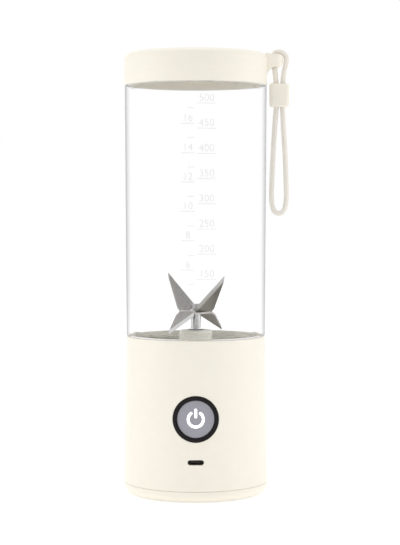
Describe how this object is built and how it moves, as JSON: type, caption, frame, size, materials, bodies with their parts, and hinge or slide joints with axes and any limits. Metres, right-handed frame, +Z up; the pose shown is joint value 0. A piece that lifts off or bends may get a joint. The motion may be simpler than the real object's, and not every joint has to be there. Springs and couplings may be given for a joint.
{
  "type": "portable blender",
  "caption": "Cordless personal blender: clear screw-on jar with blades below, screw lid with a cord strap, and a motor base with a push button and charging port.",
  "frame": {"origin": "centre of the foot pad's underside, on the surface that the blender stands on", "axes": "+Z up along the jar; -Y is the front with the button and port; +X is the side with the strap lug"},
  "size_m": [0.0883, 0.0764, 0.2368],
  "materials": {
    "cream_plastic": "satin moulded",
    "beige_plastic": "satin moulded",
    "black_plastic": "moulded",
    "bezel_black": "gloss",
    "button_grey": "satin, translucent symbol",
    "clear_jar": "clear moulded, polished",
    "clear_silicone": "translucent silicone",
    "strap_cord": "matt silicone",
    "rubber_foot": "matt",
    "black_rubber": "matt",
    "blade_steel": "ground stainless",
    "steel_fastener": "zinc plated",
    "nickel_strip": "nickel",
    "port_metal": "plated",
    "bronze": "sintered",
    "copper_wire": "enamelled",
    "magnet": "ferrite",
    "carbon": "carbon",
    "cell_wrap": "shrink wrap",
    "circuit_board": "solder resist",
    "white_light": "lamp",
    "red_lead": "insulation",
    "black_lead": "insulation"
  },
  "bodies": {
    "base": {"foot_pad": "rubber_foot", "base_cover": "cream_plastic", "cover_screws": "steel_fastener", "base_housing": "cream_plastic", "jar_socket": "beige_plastic", "blade_hub": "beige_plastic", "hub_screws": "steel_fastener", "lower_bearing": "bronze", "upper_bearing": "bronze", "shaft_seal": "black_rubber", "motor_can": "steel_fastener", "motor_end_bell": "black_plastic", "motor_magnets": "magnet", "motor_brushes": "carbon", "motor_front_bush": "bronze", "motor_rear_bush": "bronze", "motor_screws": "steel_fastener", "motor_leads": "red_lead", "battery_cells": "cell_wrap", "battery_cradle": "black_plastic", "battery_tabs": "nickel_strip", "battery_leads": "black_lead", "main_board": "circuit_board", "board_components": "black_plastic", "tact_switch": "nickel_strip", "status_lights": "white_light", "charge_board": "circuit_board", "usb_receptacle": "port_metal", "board_screws": "steel_fastener", "button_bezel": "bezel_black"},
    "rotor": {"drive_shaft": "blade_steel", "armature_core": "steel_fastener", "armature_windings": "copper_wire", "commutator": "bronze", "blade_spacer": "blade_steel", "lower_blade": "blade_steel", "upper_blade": "blade_steel", "blade_washer": "blade_steel", "blade_nut": "blade_steel"},
    "button": {"power_button": "button_grey", "switch_plunger": "button_grey"},
    "jar_gasket": {"jar_gasket": "clear_silicone"},
    "jar": {"jar": "clear_jar"},
    "lid_seal": {"lid_seal": "clear_silicone"},
    "lid": {"lid": "cream_plastic", "strap_arch": "strap_cord"},
    "strap": {"strap_loop": "strap_cord"},
    "slider": {"strap_slider": "cream_plastic"}
  },
  "joints": [
    {"name": "blade_spin", "type": "hinge", "parent": "base", "child": "rotor", "pos_m": [0, 0, 0.08], "axis": [0, 0, 1], "continuous": true},
    {"name": "button_press", "type": "slide", "parent": "base", "child": "button", "axis": [0, 1, 0], "range_m": [0, 0.0008], "stiffness_N_per_m": 500, "springref_m": -0.0002},
    {"name": "jar_lift", "type": "slide", "parent": "base", "child": "jar_gasket", "axis": [0, 0, 1], "range_m": [0, 0.01001]},
    {"name": "jar_turn", "type": "hinge", "parent": "jar_gasket", "child": "jar", "pos_m": [0, 0, 0.08], "axis": [0, 0, 1], "range_deg": [0, 225]},
    {"name": "lid_lift", "type": "slide", "parent": "jar", "child": "lid_seal", "axis": [0, 0, 1], "range_m": [0, 0.0143]},
    {"name": "lid_turn", "type": "hinge", "parent": "lid_seal", "child": "lid", "pos_m": [0, 0, 0.225], "axis": [0, 0, 1], "range_deg": [0, 320]},
    {"name": "strap_swing", "type": "hinge", "parent": "lid", "child": "strap", "pos_m": [0.0449, 0, 0.2252], "axis": [1, 0, 0], "range_deg": [-70, 70]},
    {"name": "slider_slide", "type": "slide", "parent": "strap", "child": "slider", "axis": [0, 0, 1], "range_m": [-0.008, 0]}
  ],
  "couplings": [
    {"joint": "jar_lift", "follows": "jar_turn", "m_per_rad": 0.0025465},
    {"joint": "lid_lift", "follows": "lid_turn", "m_per_rad": 0.0025465}
  ]
}
